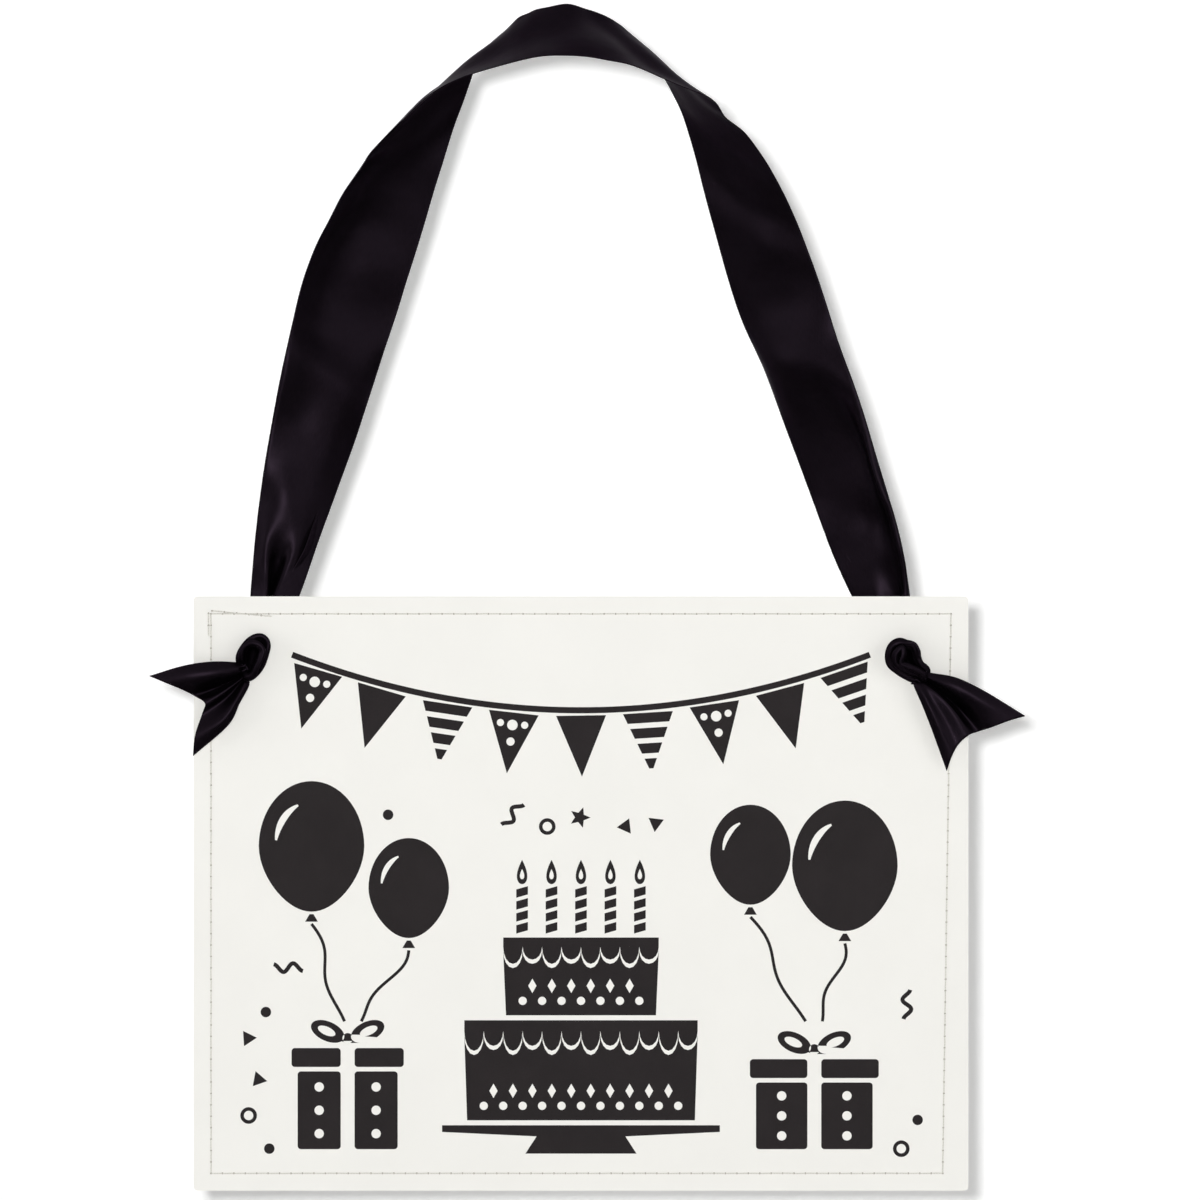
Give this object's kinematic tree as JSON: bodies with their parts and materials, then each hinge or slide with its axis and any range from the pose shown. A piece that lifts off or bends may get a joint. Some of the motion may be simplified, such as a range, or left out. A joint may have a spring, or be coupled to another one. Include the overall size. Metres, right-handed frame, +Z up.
{
  "type": "hanging party sign",
  "caption": "Rectangular stitched card sign that hangs and swings from a knotted satin ribbon loop with free swallow-tail ends.",
  "frame": {"origin": "point under the middle of the ribbon's arch where a hook or nail carries it", "axes": "+Z up, the printed front faces -Y, +X to the viewer's right"},
  "size_m": [0.3158, 0.0371, 0.4291],
  "materials": {
    "card_stock": "matte uncoated off-white card",
    "sewing_thread": "fine cream cotton thread",
    "satin_ribbon": "soft near-black satin weave with a woven edge"
  },
  "bodies": {
    "hanger": {"ribbon_hanger": "satin_ribbon"},
    "card": {"front_card": "card_stock", "back_card": "card_stock", "needle_thread": "sewing_thread", "bobbin_thread": "sewing_thread", "left_knot": "satin_ribbon", "right_knot": "satin_ribbon"},
    "left_tail": {"left_tail": "satin_ribbon"},
    "right_tail": {"right_tail": "satin_ribbon"}
  },
  "joints": [
    {"name": "card_swing", "type": "hinge", "parent": "hanger", "child": "card", "pos_m": [0.005, 0, -0.2238], "axis": [1, 0, 0], "range_deg": [0, 150]},
    {"name": "left_tail_lift", "type": "hinge", "parent": "card", "child": "left_tail", "pos_m": [-0.1171, -0.00705, -0.2322], "axis": [-0.5593, 0, 0.829], "range_deg": [0, 60]},
    {"name": "right_tail_lift", "type": "hinge", "parent": "card", "child": "right_tail", "pos_m": [0.1279, -0.00705, -0.2334], "axis": [-0.7507, 0, -0.6606], "range_deg": [0, 60]}
  ]
}
